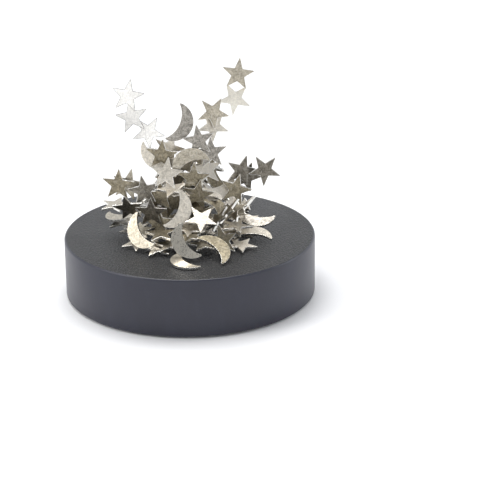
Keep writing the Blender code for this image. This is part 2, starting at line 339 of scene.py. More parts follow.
def add_mix(tree, factor, first, second):
    """Mix two colours; factor, first and second are sockets or values."""
    node = tree.nodes.new("ShaderNodeMix")
    node.data_type = "RGBA"
    places = {"Factor": factor, "A": first, "B": second}
    sockets = {"Factor": node.inputs[0], "A": node.inputs[6], "B": node.inputs[7]}
    for label, value in places.items():
        if isinstance(value, bpy.types.NodeSocket):
            tree.links.new(value, sockets[label])
        else:
            sockets[label].default_value = value
    return node.outputs[2]


def new_relief_group(name, scale, depth):
    """Group of a bumped pattern, with a mask and a normal as its outputs."""
    return new_group(
        name,
        (("Vector", "NodeSocketVector", (0, 0, 0)), ("Scale", "NodeSocketFloat", scale),
         ("Depth", "NodeSocketFloat", depth), ("Strength", "NodeSocketFloat", 0.5)),
        (("Mask", "NodeSocketFloat"), ("Normal", "NodeSocketVector")))


def finish_relief(group, entry, leave, mask):
    """Bump the surface by the mask and lead both out of the group."""
    bump = group.nodes.new("ShaderNodeBump")
    group.links.new(mask, bump.inputs["Height"])
    group.links.new(entry.outputs["Depth"], bump.inputs["Distance"])
    group.links.new(entry.outputs["Strength"], bump.inputs["Strength"])
    group.links.new(mask, leave.inputs["Mask"])
    group.links.new(bump.outputs["Normal"], leave.inputs["Normal"])
    return group


def make_grain_group():
    """Speckle of two sizes with its mask and its bumped normal."""
    group, entry, leave = new_relief_group("Grain", 2500.0, 0.00003)
    fine = add_noise(group, entry.outputs["Scale"], 2.0, 0.6, entry.outputs["Vector"])
    coarse_scale = add_math(group, "MULTIPLY", entry.outputs["Scale"], 0.37)
    coarse = add_noise(group, coarse_scale, 1.0, 0.5, entry.outputs["Vector"])
    both = add_math(group, "ADD", add_math(group, "MULTIPLY", fine.outputs["Fac"], 0.65),
                    add_math(group, "MULTIPLY", coarse.outputs["Fac"], 0.35))
    mask = add_range(group, both, 0.36, 0.64, 0.0, 1.0)
    return finish_relief(group, entry, leave, mask)


def make_pebble_group():
    """Rounded pebbles packed close, as on spark-eroded moulds, with their mask and normal."""
    group, entry, leave = new_relief_group("Pebble", 1800.0, 0.0001)
    cells = group.nodes.new("ShaderNodeTexVoronoi")
    cells.feature = "F1"
    group.links.new(entry.outputs["Vector"], cells.inputs["Vector"])
    group.links.new(entry.outputs["Scale"], cells.inputs["Scale"])
    uneven = add_noise(group, entry.outputs["Scale"], 1.0, 0.5, entry.outputs["Vector"])
    domes = add_range(group, cells.outputs["Distance"], 0.05, 0.65, 1.0, 0.0)
    height = add_math(group, "ADD", domes, add_math(group, "MULTIPLY", uneven.outputs["Fac"], 0.5))
    mask = add_range(group, height, 0.4, 1.2, 0.0, 1.0)
    return finish_relief(group, entry, leave, mask)


def make_mottle_group():
    """Broad uneven patches, as in plating or moulded plastic."""
    group, entry, leave = new_group(
        "Mottle",
        (("Vector", "NodeSocketVector", (0, 0, 0)), ("Scale", "NodeSocketFloat", 120.0),
         ("Low", "NodeSocketFloat", 0.9), ("High", "NodeSocketFloat", 1.1)),
        (("Value", "NodeSocketFloat"),))
    noise = add_noise(group, entry.outputs["Scale"], 3.0, 0.55, entry.outputs["Vector"])
    spread = group.nodes.new("ShaderNodeMapRange")
    group.links.new(noise.outputs["Fac"], spread.inputs["Value"])
    spread.inputs["From Min"].default_value = 0.3
    spread.inputs["From Max"].default_value = 0.7
    group.links.new(entry.outputs["Low"], spread.inputs["To Min"])
    group.links.new(entry.outputs["High"], spread.inputs["To Max"])
    group.links.new(spread.outputs["Result"], leave.inputs["Value"])
    return group


def make_scuff_group():
    """Fine scratches in two directions, from stretched noise."""
    group, entry, leave = new_group(
        "Scuffs",
        (("Vector", "NodeSocketVector", (0, 0, 0)), ("Scale", "NodeSocketFloat", 900.0),
         ("Amount", "NodeSocketFloat", 0.5)),
        (("Mask", "NodeSocketFloat"),))
    masks = []
    for turn, stretch in ((0.5, (1.0, 0.06, 0.3)), (2.1, (0.05, 1.0, 0.3))):
        mapping = group.nodes.new("ShaderNodeMapping")
        mapping.inputs["Rotation"].default_value = (0.4, turn, turn)
        mapping.inputs["Scale"].default_value = stretch
        group.links.new(entry.outputs["Vector"], mapping.inputs["Vector"])
        noise = add_noise(group, entry.outputs["Scale"], 1.0, 0.5, mapping.outputs["Vector"])
        masks.append(add_range(group, noise.outputs["Fac"], 0.62, 0.72, 0.0, 1.0))
    most = add_math(group, "MAXIMUM", masks[0], masks[1])
    scaled = add_math(group, "MULTIPLY", most, entry.outputs["Amount"])
    group.links.new(scaled, leave.inputs["Mask"])
    return group


GROUP_MAKERS = {"Grain": make_grain_group, "Pebble": make_pebble_group, "Mottle": make_mottle_group,
                "Scuffs": make_scuff_group}


def place_group(tree, name, **values):
    """Put a shared group into a material, built on first use, with its own values."""
    group = bpy.data.node_groups.get(name) or GROUP_MAKERS[name]()
    node = tree.nodes.new("ShaderNodeGroup")
    node.node_tree = group
    coordinates = tree.nodes.get("Place") or tree.nodes.new("ShaderNodeTexCoord")
    coordinates.name = "Place"
    tree.links.new(coordinates.outputs["Object"], node.inputs["Vector"])
    for label, value in values.items():
        node.inputs[label].default_value = value
    return node


# ---------------------------------------------------------------- materials

def new_material(name, roughness, metallic=0.0):
    material = bpy.data.materials.new(name)
    material.use_nodes = True
    shader = material.node_tree.nodes["Principled BSDF"]
    shader.inputs["Roughness"].default_value = roughness
    shader.inputs["Metallic"].default_value = metallic
    return material, material.node_tree, shader


def colour_times(tree, colour, value):
    """A colour scaled by a changing value."""
    node = tree.nodes.new("ShaderNodeVectorMath")
    node.operation = "SCALE"
    node.inputs[0].default_value = colour[:3]
    tree.links.new(value, node.inputs["Scale"])
    return node.outputs[0]


# Painted light and shade of the plating, as lit and shaded copies of one nickel: brightness and
# warmth that paint the light and shade on each plate, roughness, brightness of the edges from wear (a
# painted dark shade outline on the highlight level), contrast of the speckle.
# Each key names a painted level, from painted highlight down to deep painted shade, warmer in most
# shaded levels; pale is a painted lit level.
LIGHT_AND_SHADE_LEVELS = {
    "highlight": (1.42, -0.06, 0.30, 0.08, 0.10),
    "highlight_cream": (1.38, 0.02, 0.30, 0.93, 0.10),
    "pale": (1.14, 0.02, 0.32, 0.80, 0.12),
    "softly_lit": (0.86, 0.04, 0.33, 0.93, 0.20),
    "shaded_warm": (0.66, 0.10, 0.34, 0.93, 0.26),
    "half_shade": (0.54, 0.01, 0.36, 0.92, 0.34),
    "shaded_brown": (0.35, 0.20, 0.36, 0.93, 0.30),
    "deep_shade": (0.29, 0.07, 0.38, 0.88, 0.36),
}


BRIGHTEST = 0.93                      # no channel of the plating goes above this
WARM_RED = 0.35                       # share of the warmth that goes into red
DARK_SPECKLE = 1.6                    # how much further speckles go down than up
# Weight of the rim mask: bright edge wear, and a painted dark shade outline on the highlight level
RIM_WEAR_AND_OUTLINE = 0.8
SCUFF_WEAR = 0.35
WEAR_GLOSS = 0.16                     # roughness that full wear takes away


def nickel_material(light_and_shade):
    """Tumbled nickel plate: speckled semi-matt faces, brighter and smoother edges from wear, fine
    scuffs; its level paints the light and shade on the plate, and on the highlight level the edges
    are a painted dark shade outline.
    """
    name = "nickel_" + light_and_shade
    if name in bpy.data.materials:
        return bpy.data.materials[name]
    brightness, warmth, roughness, edge, contrast = LIGHT_AND_SHADE_LEVELS[light_and_shade]
    nickel = bpy.context.scene.sculpture_plates.nickel
    # The level scales and tints the nickel: painted light and shade on each plate
    colour = Vector(nickel) * brightness
    colour = Vector((colour.x * (1 + warmth * WARM_RED), colour.y, colour.z * (1 - warmth)))
    colour = [min(part, BRIGHTEST) for part in colour]
    material, tree, shader = new_material(name, roughness, 1.0)
    grain = place_group(tree, "Grain", Scale=2100.0, Depth=0.00002, Strength=0.5)
    mottle = place_group(tree, "Mottle", Scale=70.0, Low=0.84, High=1.14)
    scuffs = place_group(tree, "Scuffs", Scale=1500.0, Amount=0.35)
    speckle = add_range(tree, grain.outputs["Mask"], 0.0, 1.0,
                        1 - DARK_SPECKLE * contrast, 1 + contrast)
    value = add_math(tree, "MULTIPLY", mottle.outputs["Value"], speckle)
    face = colour_times(tree, colour, value)
    rim = tree.nodes.new("ShaderNodeAttribute")
    rim.attribute_name = "rim"
    # Edge colour: bright wear on most levels, a painted dark shade outline on the highlight level
    edge_colour = (edge, edge * 0.985, edge * 0.94, 1.0)
    wear_and_outline = add_math(tree, "MAXIMUM", add_math(tree, "MULTIPLY", rim.outputs["Fac"], RIM_WEAR_AND_OUTLINE),
                    add_math(tree, "MULTIPLY", scuffs.outputs["Mask"], SCUFF_WEAR))
    tree.links.new(add_mix(tree, wear_and_outline, face, edge_colour), shader.inputs["Base Color"])
    rough = add_range(tree, grain.outputs["Mask"], 0.0, 1.0, roughness + 0.1, roughness - 0.06)
    gloss = add_math(tree, "MULTIPLY", wear_and_outline, WEAR_GLOSS)
    tree.links.new(add_math(tree, "SUBTRACT", rough, gloss), shader.inputs["Roughness"])
    tree.links.new(grain.outputs["Normal"], shader.inputs["Normal"])
    return material


def plastic_material(name, colour, roughness, pattern, scale, depth, strength, speckle):
    """Moulded plastic with its own grain or pebbles, slightly uneven in colour and gloss."""
    material, tree, shader = new_material(name, roughness)
    grain = place_group(tree, pattern, Scale=scale, Depth=depth, Strength=strength)
    mottle = place_group(tree, "Mottle", Scale=38.0, Low=0.9, High=1.12)
    scuffs = place_group(tree, "Scuffs", Scale=260.0, Amount=0.25)
    light = add_range(tree, grain.outputs["Mask"], 0.0, 1.0, 1.0 - speckle, 1.0 + speckle)
    value = add_math(tree, "MULTIPLY", mottle.outputs["Value"], light)
    value = add_math(tree, "ADD", value, add_math(tree, "MULTIPLY", scuffs.outputs["Mask"], 0.3))
    tree.links.new(colour_times(tree, colour, value), shader.inputs["Base Color"])
    rough = add_range(tree, mottle.outputs["Value"], 0.9, 1.12, roughness - 0.04, roughness + 0.05)
    tree.links.new(rough, shader.inputs["Roughness"])
    tree.links.new(grain.outputs["Normal"], shader.inputs["Normal"])
    return material


def metal_material(name, colour, roughness, grain_scale):
    """Plain metal or ceramic with a ground surface."""
    material, tree, shader = new_material(name, roughness, 1.0)
    grain = place_group(tree, "Grain", Scale=grain_scale, Depth=0.00003, Strength=0.4)
    scuffs = place_group(tree, "Scuffs", Scale=700.0, Amount=0.8)
    mottle = place_group(tree, "Mottle", Scale=70.0, Low=0.85, High=1.1)
    value = add_math(tree, "ADD", mottle.outputs["Value"],
                     add_math(tree, "MULTIPLY", scuffs.outputs["Mask"], 0.25))
    tree.links.new(colour_times(tree, colour, value), shader.inputs["Base Color"])
    rough = add_range(tree, grain.outputs["Mask"], 0.0, 1.0, roughness - 0.08, roughness + 0.1)
    tree.links.new(rough, shader.inputs["Roughness"])
    tree.links.new(grain.outputs["Normal"], shader.inputs["Normal"])
    return material


# ---------------------------------------------------------------- base

MAGNET_PLAY = 0.3 * MM                # between the magnet and the rib round it
RIB_WALL = 2.0 * MM
RIB_DEPTH = 6.0 * MM
FOOT_ROUND = 0.5 * MM
POST_RADIUS = 4.0 * MM
POST_PLAY = 0.3 * MM                  # between the cover and the posts
POST_ROOT = 1.2 * MM                  # how far the posts reach into the roof
PILOT_RADIUS = 1.6 * MM
PILOT_START = 1.0 * MM                # the hole's tool starts this far below the cover's top
PILOT_DEPTH = 10.3 * MM
CUSHION_TRIM = 0.6 * MM               # taken off the radius, so that the bulge fits
CUSHION_BULGE = 1.016
CUSHION_SHOULDER = 1.011
CUSHION_BORDER = 1.5 * MM
FLAT_DOWN = -0.9                      # a face whose normal lies below this looks down


def screw_places():
    """Middle of each cover screw, from the CAD."""
    for index in (1, 2, 3):
        low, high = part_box(f"cover_screw_{index}")
        yield index, ((low.x + high.x) / 2, (low.y + high.y) / 2)


def build_shell(settings):
    """Housing: rounded rim round the grained top, open underside with screw posts."""
    shell = add_cylinder("base_shell", BASE_RADIUS, SHELL_LOW.z, SHELL_HIGH.z, 160)
    inner = BASE_RADIUS - settings.wall
    roof = SHELL_HIGH.z - settings.wall
    rib_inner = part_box("ring_magnet")[1].x + MAGNET_PLAY

    def is_roof(face):
        return face.normal.z < FLAT_DOWN and len(face.verts) > 4

    def is_rib_foot(face):
        return (face.normal.z < FLAT_DOWN and len(face.verts) == 4
                and rib_inner < face.calc_center_median().xy.length < rib_inner + RIB_WALL)

    def on_ring(edge, height):
        spot = middle(edge)
        return (abs(spot.xy.length - BASE_RADIUS) < 0.1 * MM and abs(spot.z - height) < 0.05 * MM
                and abs(edge_direction(edge).z) < 0.1)

    start_edit(shell)
    # hollow underside
    select_faces(shell, lambda face: face.normal.z < FLAT_DOWN)
    bpy.ops.mesh.inset(thickness=settings.wall)
    select_faces(shell, is_roof)
    bpy.ops.mesh.extrude_region_move(TRANSFORM_OT_translate={"value": (0, 0, roof - SHELL_LOW.z)})
    # ring that locates the magnet
    for inset in (inner - rib_inner - RIB_WALL, RIB_WALL):
        select_faces(shell, is_roof)
        bpy.ops.mesh.inset(thickness=inset)
    select_faces(shell, is_rib_foot)
    bpy.ops.mesh.extrude_region_move(TRANSFORM_OT_translate={"value": (0, 0, -RIB_DEPTH)})
    # rounded rim and softened foot
    for height, width, segments in ((SHELL_HIGH.z, settings.rim_round, 5),
                                    (SHELL_LOW.z, FOOT_ROUND, 3)):
        select_edges(shell, lambda edge: on_ring(edge, height))
        bpy.ops.mesh.bevel(offset=width, segments=segments, profile=0.5, affect="EDGES")
    end_edit()
    cover_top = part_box("bottom_cover")[1].z
    for _, place in screw_places():
        post = add_cylinder("post_tool", POST_RADIUS, cover_top + POST_PLAY, roof + POST_ROOT,
                            32, place)
        apply_boolean(shell, post, "UNION")
        hole = add_cylinder("hole_tool", PILOT_RADIUS, cover_top - PILOT_START,
                            cover_top + PILOT_DEPTH, 24, place)
        apply_boolean(shell, hole, "DIFFERENCE")
    shell.data.materials.append(plastic_material(
        "black_satin", settings.side_colour, 0.36, "Grain", 4200.0, 0.00001, 0.2, 0.08))
    shell.data.materials.append(plastic_material(
        "black_grained", settings.top_colour, 0.44, "Pebble", 1150.0, 0.0005, 1.0, 0.6))
    start_edit(shell)
    select_faces(shell, lambda face: face.normal.z > 0.95
                 and face.calc_center_median().z > BASE_TOP - 1.0 * MM)
    shell.active_material_index = 1
    bpy.ops.object.material_slot_assign()
    end_edit()
    shade_by_angle(shell, EDGE_ANGLE)
    hand_over(shell, "base", ["base_housing"])


def build_cushion():
    """Foam disc between keeper and cover, bulging a little where it is squeezed."""
    low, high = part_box("magnet_cushion")
    cushion = add_cylinder("foam_cushion", high.x - CUSHION_TRIM, low.z, high.z, 72)
    waist = (low.z + high.z) / 2
    shoulder = (high.z - low.z) * 0.4
    start_edit(cushion)
    select_edges(cushion, is_upright)
    bpy.ops.mesh.subdivide(number_cuts=3)
    select_verts(cushion, lambda vert: abs(vert.co.z - waist) < 0.1 * MM)
    bpy.ops.transform.resize(value=(CUSHION_BULGE, CUSHION_BULGE, 1.0))
    select_verts(cushion, lambda vert: 0.1 * MM < abs(vert.co.z - waist) < shoulder)
    bpy.ops.transform.resize(value=(CUSHION_SHOULDER, CUSHION_SHOULDER, 1.0))
    select_faces(cushion, lambda face: abs(face.normal.z) > 0.9)
    bpy.ops.mesh.inset(thickness=CUSHION_BORDER)
    end_edit()
    shade_by_angle(cushion, 60.0)
    cushion.data.materials.append(plastic_material(
        "grey_foam", (0.10, 0.105, 0.115), 0.95, "Pebble", 1500.0, 0.0003, 1.0, 0.5))
    hand_over(cushion, "base", ["magnet_cushion"])


def build_inside_piece(node, name, material, edge):
    piece = copy_node(node, name)
    if edge:
        round_sharp_edges(piece, edge)
    shade_by_angle(piece)
    piece.data.materials.append(material)
    hand_over(piece, "base", [node])


def build_inside():
    ferrite = metal_material("ground_ferrite", (0.11, 0.108, 0.105), 0.5, 1800.0)
    zinc = metal_material("zinc_plate", (0.56, 0.55, 0.50), 0.3, 2200.0)
    softly_lit = plastic_material("inner_satin", (0.04, 0.04, 0.043), 0.5, "Grain",
                             2400.0, 0.00003, 0.4, 0.1)
    pad = plastic_material("foot_foam", (0.022, 0.022, 0.024), 0.88, "Pebble",
                           1700.0, 0.00015, 0.9, 0.35)
    build_inside_piece("ring_magnet", "magnet_ring", ferrite, 0.0)
    build_inside_piece("magnet_keeper", "keeper_disc", zinc, 0.25 * MM)
    build_inside_piece("bottom_cover", "cover_disc", softly_lit, 0.0)
    build_inside_piece("foot_pad", "foot_disc", pad, 0.3 * MM)
    for index, _ in screw_places():
        build_inside_piece(f"cover_screw_{index}", f"screw_{index}", zinc, 0.12 * MM)


# ---------------------------------------------------------------- stamped plates

CREASE = 0.5                          # radians between faces that makes an outline edge
WAIST_ROUND = 0.25 * MM
FLAT_TURN = math.radians(0.3)         # edges with less of a turn are dissolved
ON_PLANE = 0.01 * MM
TIP_CONE = math.cos(math.radians(12))
HORN_ROUND = 0.92                     # rounding of a horn's corners over half of its width
HORN_SHARE = 0.92                     # outermost part of a crescent that counts as its horns


def mark_rim(obj):
    """Give every face a mask: 1 on the edge all round the plate, which carries wear and, on highlight
    plates, a painted dark shade outline, 0 on the two flats.
    """
    mask = obj.data.attributes.new("rim", "FLOAT", "FACE")
    values = [0.0 if abs(face.normal.z) > 0.97 else 1.0 for face in obj.data.polygons]
    mask.data.foreach_set("value", values)


def round_flats(obj, settings):
    """Round the outline of both flats: rolled on top, sheared below."""
    half = settings.sheet / 2
    for height, width in ((half, settings.rolled_edge), (-half, settings.sheared_edge)):
        select_edges(obj, lambda edge: edge.calc_face_angle(0.0) > CREASE
                     and all(abs(vert.co.z - height) < ON_PLANE for vert in edge.verts))
        bpy.ops.mesh.bevel(offset=width, segments=2, profile=0.5, affect="EDGES",
                           clamp_overlap=True)


def cut_star(settings):
    """Five-pointed star lying flat at the origin, its first point along +Y."""
    deselect_all()
    half = settings.sheet / 2
    bpy.ops.mesh.primitive_circle_add(vertices=10, radius=settings.star_radius,
                                      fill_type="NGON", location=(0, 0, -half))
    star = bpy.context.object
    star.name = "star_master"
    settle_transform(star)
    start_edit(star)
    select_verts(star, lambda vert: vert.index % 2 == 1)
    pull_in = settings.star_waist / settings.star_radius
    bpy.ops.transform.resize(value=(pull_in, pull_in, 1.0), center_override=(0, 0, -half))
    bpy.ops.mesh.select_all(action="SELECT")
    bpy.ops.mesh.extrude_region_move(TRANSFORM_OT_translate={"value": (0, 0, settings.sheet)})
    corner = math.pi / 5
    across = settings.star_waist * math.sin(corner)
    along = settings.star_radius - settings.star_waist * math.cos(corner)
    half_tip = math.atan2(across, along)
    select_edges(star, lambda edge: is_upright(edge)
                 and middle(edge).xy.length > settings.star_radius * 0.9)
    bpy.ops.mesh.bevel(offset=settings.star_tip / math.tan(half_tip), segments=4, profile=0.5,
                       affect="EDGES")
    select_edges(star, lambda edge: is_upright(edge)
                 and middle(edge).xy.length < settings.star_waist * 1.05)
    bpy.ops.mesh.bevel(offset=WAIST_ROUND, segments=2, profile=0.5, affect="EDGES")
    bpy.ops.mesh.select_all(action="SELECT")
    bpy.ops.mesh.normals_make_consistent(inside=False)
    round_flats(star, settings)
    end_edit()
    mark_rim(star)
    settle_normals(star)
    return star


def moon_hollow(settings):
    """Radius of the circle that hollows the crescent, and how far up its middle lies."""
    depth = settings.moon_radius - settings.moon_width
    half_mouth = settings.moon_radius - 2 * settings.moon_horn
    radius = (depth ** 2 + half_mouth ** 2) / (2 * depth)
    return radius, radius - depth


def cut_moon(settings):
    """Crescent lying flat at the origin, its horns along +Y."""
    half = settings.sheet / 2
    moon = add_cylinder("moon_master", settings.moon_radius, -half, half, 64)
    hollow, hollow_centre = moon_hollow(settings)
    start_edit(moon)
    bpy.ops.mesh.select_all(action="SELECT")
    bpy.ops.mesh.bisect(plane_co=(0, 0, 0), plane_no=(0, 1, 0), use_fill=True, clear_outer=True)
    end_edit()
    cutter = add_cylinder("hollow_tool", hollow, -2 * half, 2 * half, 96, (0.0, hollow_centre))
    apply_boolean(moon, cutter, "DIFFERENCE")
    start_edit(moon)
    bpy.ops.mesh.select_all(action="SELECT")
    bpy.ops.mesh.dissolve_limited(angle_limit=FLAT_TURN)
    select_faces(moon, lambda face: face.normal.y > 0.99
                 and face.calc_center_median().y > -ON_PLANE)
    bpy.ops.mesh.extrude_region_move(TRANSFORM_OT_translate={"value": (0, settings.moon_horn, 0)})
    select_edges(moon, lambda edge: is_upright(edge)
                 and abs(middle(edge).y - settings.moon_horn) < ON_PLANE)
    bpy.ops.mesh.bevel(offset=settings.moon_horn * HORN_ROUND, segments=3, profile=0.5,
                       affect="EDGES")
    bpy.ops.mesh.select_all(action="SELECT")
    bpy.ops.mesh.remove_doubles(threshold=2 * MERGE_DISTANCE)
    bpy.ops.mesh.dissolve_limited(angle_limit=FLAT_TURN)
    bpy.ops.mesh.normals_make_consistent(inside=False)
    round_flats(moon, settings)
    end_edit()
    mark_rim(moon)
    settle_normals(moon)
    return moon


def corners_of(node):
    points = np.array([vert.co for vert in frame["nodes"][node].data.vertices])
    return np.unique(points.round(7), axis=0)


def pose_from_axes(side, top, normal, centre):
    pose = Matrix((side, top, normal)).transposed().to_4x4()
    pose.translation = centre
    return pose


def star_pose(node):
    """Where a CAD star lies, read from its corners."""
    points = corners_of(node)
    centre = points.mean(0)
    axes = np.linalg.svd(points - centre)[2]
    normal = Vector(axes[2])
    if normal.z < 0:
        normal.negate()
    tip = Vector(points[np.argmax(((points - centre) ** 2).sum(1))] - centre)
    top = (tip - normal * tip.dot(normal)).normalized()
    # the corners of the blunt tip lie either side of the point: aim between them
    spots = [Vector(point - centre) for point in points]
    near = [spot for spot in spots if spot.normalized().dot(top) > TIP_CONE]
    mean = sum(near, Vector()) / len(near)
    top = (mean - normal * mean.dot(normal)).normalized()
    return pose_from_axes(top.cross(normal), top, normal, Vector(centre))


def moon_pose(node, settings):
    """Where a CAD moon lies, read from its corners: horns along the long axis."""
    points = corners_of(node)
    centre = points.mean(0)
    axes = np.linalg.svd(points - centre)[2]
    side, top, normal = axes
    flat = points - centre
    across, along, through = flat @ side, flat @ top, flat @ normal
    ends = np.abs(across) > HORN_SHARE * np.abs(across).max()
    if along[ends].mean() < 0:
        top, along = -top, -along
    middle_of_circle = (centre + side * (across.max() + across.min()) / 2
                        + top * (along.min() + settings.moon_radius)
                        + normal * (through.max() + through.min()) / 2)
    side, top, normal = Vector(side), Vector(top), Vector(normal)
    if normal.z < 0:
        normal.negate()
    return pose_from_axes(top.cross(normal), top, normal, Vector(middle_of_circle))


def copy_plate(master, pose, name, light_and_shade):
    """A plate of its own mesh, put in place in the mesh."""
    mesh = master.data.copy()
    mesh.transform(pose)
    mesh.materials.clear()
    mesh.materials.append(nickel_material(light_and_shade))
    obj = bpy.data.objects.new(name, mesh)
    bpy.context.scene.collection.objects.link(obj)
    return obj


# Plates whose painted light and shade level is given, painting the light and shade that falls on
# each; the others are drawn from the list below
PLATE_LIGHT_AND_SHADE = {
    "left_arm_star_1": "highlight", "left_arm_star_2": "highlight", "left_arm_star_3": "highlight",
    "right_arm_star_1": "shaded_warm", "right_arm_star_2": "highlight_cream",
    "right_arm_star_3": "shaded_warm", "right_arm_star_4": "softly_lit", "right_arm_star_5": "half_shade",
    "right_arm_star_6": "half_shade", "middle_moon_1": "half_shade", "middle_moon_2": "shaded_warm",
    "middle_star_1": "shaded_brown", "middle_star_2": "pale", "right_branch_star_1": "deep_shade",
    "right_branch_star_2": "deep_shade", "right_branch_star_3": "deep_shade", "right_branch_star_4": "shaded_brown",
    "left_branch_star_1": "shaded_brown", "left_branch_star_2": "deep_shade", "left_branch_star_3": "shaded_warm",
    "left_branch_star_4": "deep_shade", "front_moon_1": "softly_lit", "front_moon_2": "shaded_warm",
    "front_moon_3": "highlight_cream", "front_moon_4": "softly_lit", "front_moon_5": "shaded_brown",
    "front_star_1": "softly_lit", "front_star_2": "shaded_brown", "front_star_3": "pale",
    "front_star_4": "pale", "front_star_5": "pale", "front_star_6": "softly_lit",
    "upper_star_1": "softly_lit", "upper_star_2": "shaded_brown", "upper_star_3": "shaded_brown",
    "upper_star_4": "pale", "upper_star_5": "shaded_brown", "upper_star_6": "shaded_brown", "upper_moon": "pale",
    "core_moon": "shaded_brown", "core_star_1": "deep_shade", "core_star_2": "shaded_brown", "core_star_3": "pale",
    "fan_star_1": "softly_lit", "fan_star_2": "shaded_warm", "fan_star_3": "pale", "fan_star_4": "shaded_brown",
    "left_arm_moon": "softly_lit", "left_foot_moon": "shaded_warm", "right_foot_moon_1": "half_shade",
    "right_foot_moon_2": "softly_lit",
}
# Painted light and shade levels for the other plates, most of them painted shade
LOOSE_LIGHT_AND_SHADE = ("pale", "softly_lit", "shaded_warm", "shaded_warm", "shaded_brown", "half_shade")


def light_and_shade_for(name, index):
    return PLATE_LIGHT_AND_SHADE.get(name) or LOOSE_LIGHT_AND_SHADE[index * 5 % len(LOOSE_LIGHT_AND_SHADE)]


# ---------------------------------------------------------------- heap

STAR_SHARE = 0.6                      # stars among the drawn plates
TIP_CUT = 0.5 * MM                    # the rounding shortens a star's points by this
TIP_GROWTH = 2.4                      # how far a corner goes out for each step of its sides
WAIST_GROWTH = 1.2
GAP_TRIES = 60
GAP_SHIFT = 0.52 * MM
HIDDEN_SHARE = 0.4
FOOT_HIDDEN_SHARE = 0.3
EDGE_ON = 0.28                        # a plate that faces the viewer less than this is edge-on
EDGE_ON_HIDDEN_SHARE = 0.8


def test_shape(kind, settings, grow):
    """A coarse plate for clearance tests, every side moved out by grow."""
    if kind == "star":
        outline = []
        for index in range(10):
            if index % 2 == 0:
                reach = settings.star_radius - TIP_CUT + grow * TIP_GROWTH
            else:
                reach = settings.star_waist + grow * WAIST_GROWTH
            angle = math.pi / 2 + math.pi / 5 * index
            outline.append((reach * math.cos(angle), reach * math.sin(angle)))
    else:
        outer = settings.moon_radius + grow
        hollow, hollow_centre = moon_hollow(settings)
        hollow -= grow
        outline = []
        for step in range(9):
            angle = math.pi + math.pi * step / 8
            outline.append((outer * math.cos(angle), outer * math.sin(angle)))
        horn_top = settings.moon_horn + grow
        outline.append((outer - settings.moon_horn, horn_top))
        mouth = math.sqrt(hollow ** 2 - (hollow_centre - horn_top) ** 2)
        reach = math.acos(min(mouth / hollow, 1.0))
        for step in range(1, 6):
            angle = -reach - (math.pi - 2 * reach) * step / 6
            outline.append((hollow * math.cos(angle), hollow_centre + hollow * math.sin(angle)))
        outline.append((settings.moon_horn - outer, horn_top))
    half = settings.sheet / 2 + grow
    count = len(outline)
    corners = [Vector((x, y, z)) for z in (half, -half) for x, y in outline]
    faces = [list(range(count)), list(range(2 * count - 1, count - 1, -1))]
    for index in range(count):
        after = (index + 1) % count
        faces.append([after, index, count + index, count + after])
    return corners, faces


class Heap:
    """The plates placed so far, as search trees, with their middles."""

    def __init__(self, plates, gap):
        self.shapes = {kind: test_shape(kind, plates, 0.0) for kind in ("star", "moon")}
        self.padded = {kind: test_shape(kind, plates, gap) for kind in ("star", "moon")}
        self.reach = 2.1 * plates.moon_radius
        self.placed = []
        self.front = []

    def tree(self, shapes, kind, pose):
        corners, faces = shapes[kind]
        return BVHTree.FromPolygons([pose @ corner for corner in corners], faces)

    def add(self, kind, pose):
        self.placed.append((pose.translation.copy(), self.tree(self.shapes, kind, pose)))

    def add_front(self, kind, pose):
        """Note a plate that hides what lies behind it."""
        self.front.append((pose.translation.copy(), self.tree(self.shapes, kind, pose)))

    def is_mostly_hidden(self, kind, pose, share=HIDDEN_SHARE):
        """Whether enough of a plate's corners lie behind the front plates."""
        if abs(pose.col[2].xyz.dot(TO_VIEWER)) < EDGE_ON:
            share = EDGE_ON_HIDDEN_SHARE
        corners = self.shapes[kind][0]
        hidden = 0
        for corner in corners:
            spot = pose @ corner
            for centre, tree in self.front:
                offset = centre - spot
                across = offset - TO_VIEWER * offset.dot(TO_VIEWER)
                if across.length < self.reach / 2 and tree.ray_cast(spot, TO_VIEWER)[0] is not None:
                    hidden += 1
                    break
        return hidden >= share * len(corners)

    def is_clear(self, kind, pose):
        corners = self.padded[kind][0]
        if min((pose @ corner).z for corner in corners) < BASE_TOP:
            return False
        tree = self.tree(self.padded, kind, pose)
        for centre, other in self.placed:
            if (centre - pose.translation).length < self.reach and tree.overlap(other):
                return False
        return True


def turned_pose(normal, spin, centre):
    """Pose of a plate with this normal, turned in its own plane."""
    flat = Vector((0.0, 0.0, 1.0)).cross(normal)
    side = flat.normalized() if flat.length > 0.01 else Vector((1.0, 0.0, 0.0))
    pose = pose_from_axes(side, normal.cross(side), normal, Vector())
    return Matrix.Translation(centre) @ pose @ Matrix.Rotation(spin, 4, "Z")


def pulled_poses(node, pose):
    """The plate's pose at rest and at the end of every pull that moves it."""
    yield pose
    moved = Vector()
    name = node
    while name in PULL:
        joint = PULL[name]
        step = Vector(joint["axis"]) * joint["range_m"][1]
        yield Matrix.Translation(step) @ pose
        moved += step
        name = joint["parent"]
    yield Matrix.Translation(moved) @ pose


def random_tilt(rng, around, spread):
    """A unit vector near the given one."""
    jitter = Vector((rng.gauss(0, spread), rng.gauss(0, spread), rng.gauss(0, spread)))
    return (around + jitter).normalized()
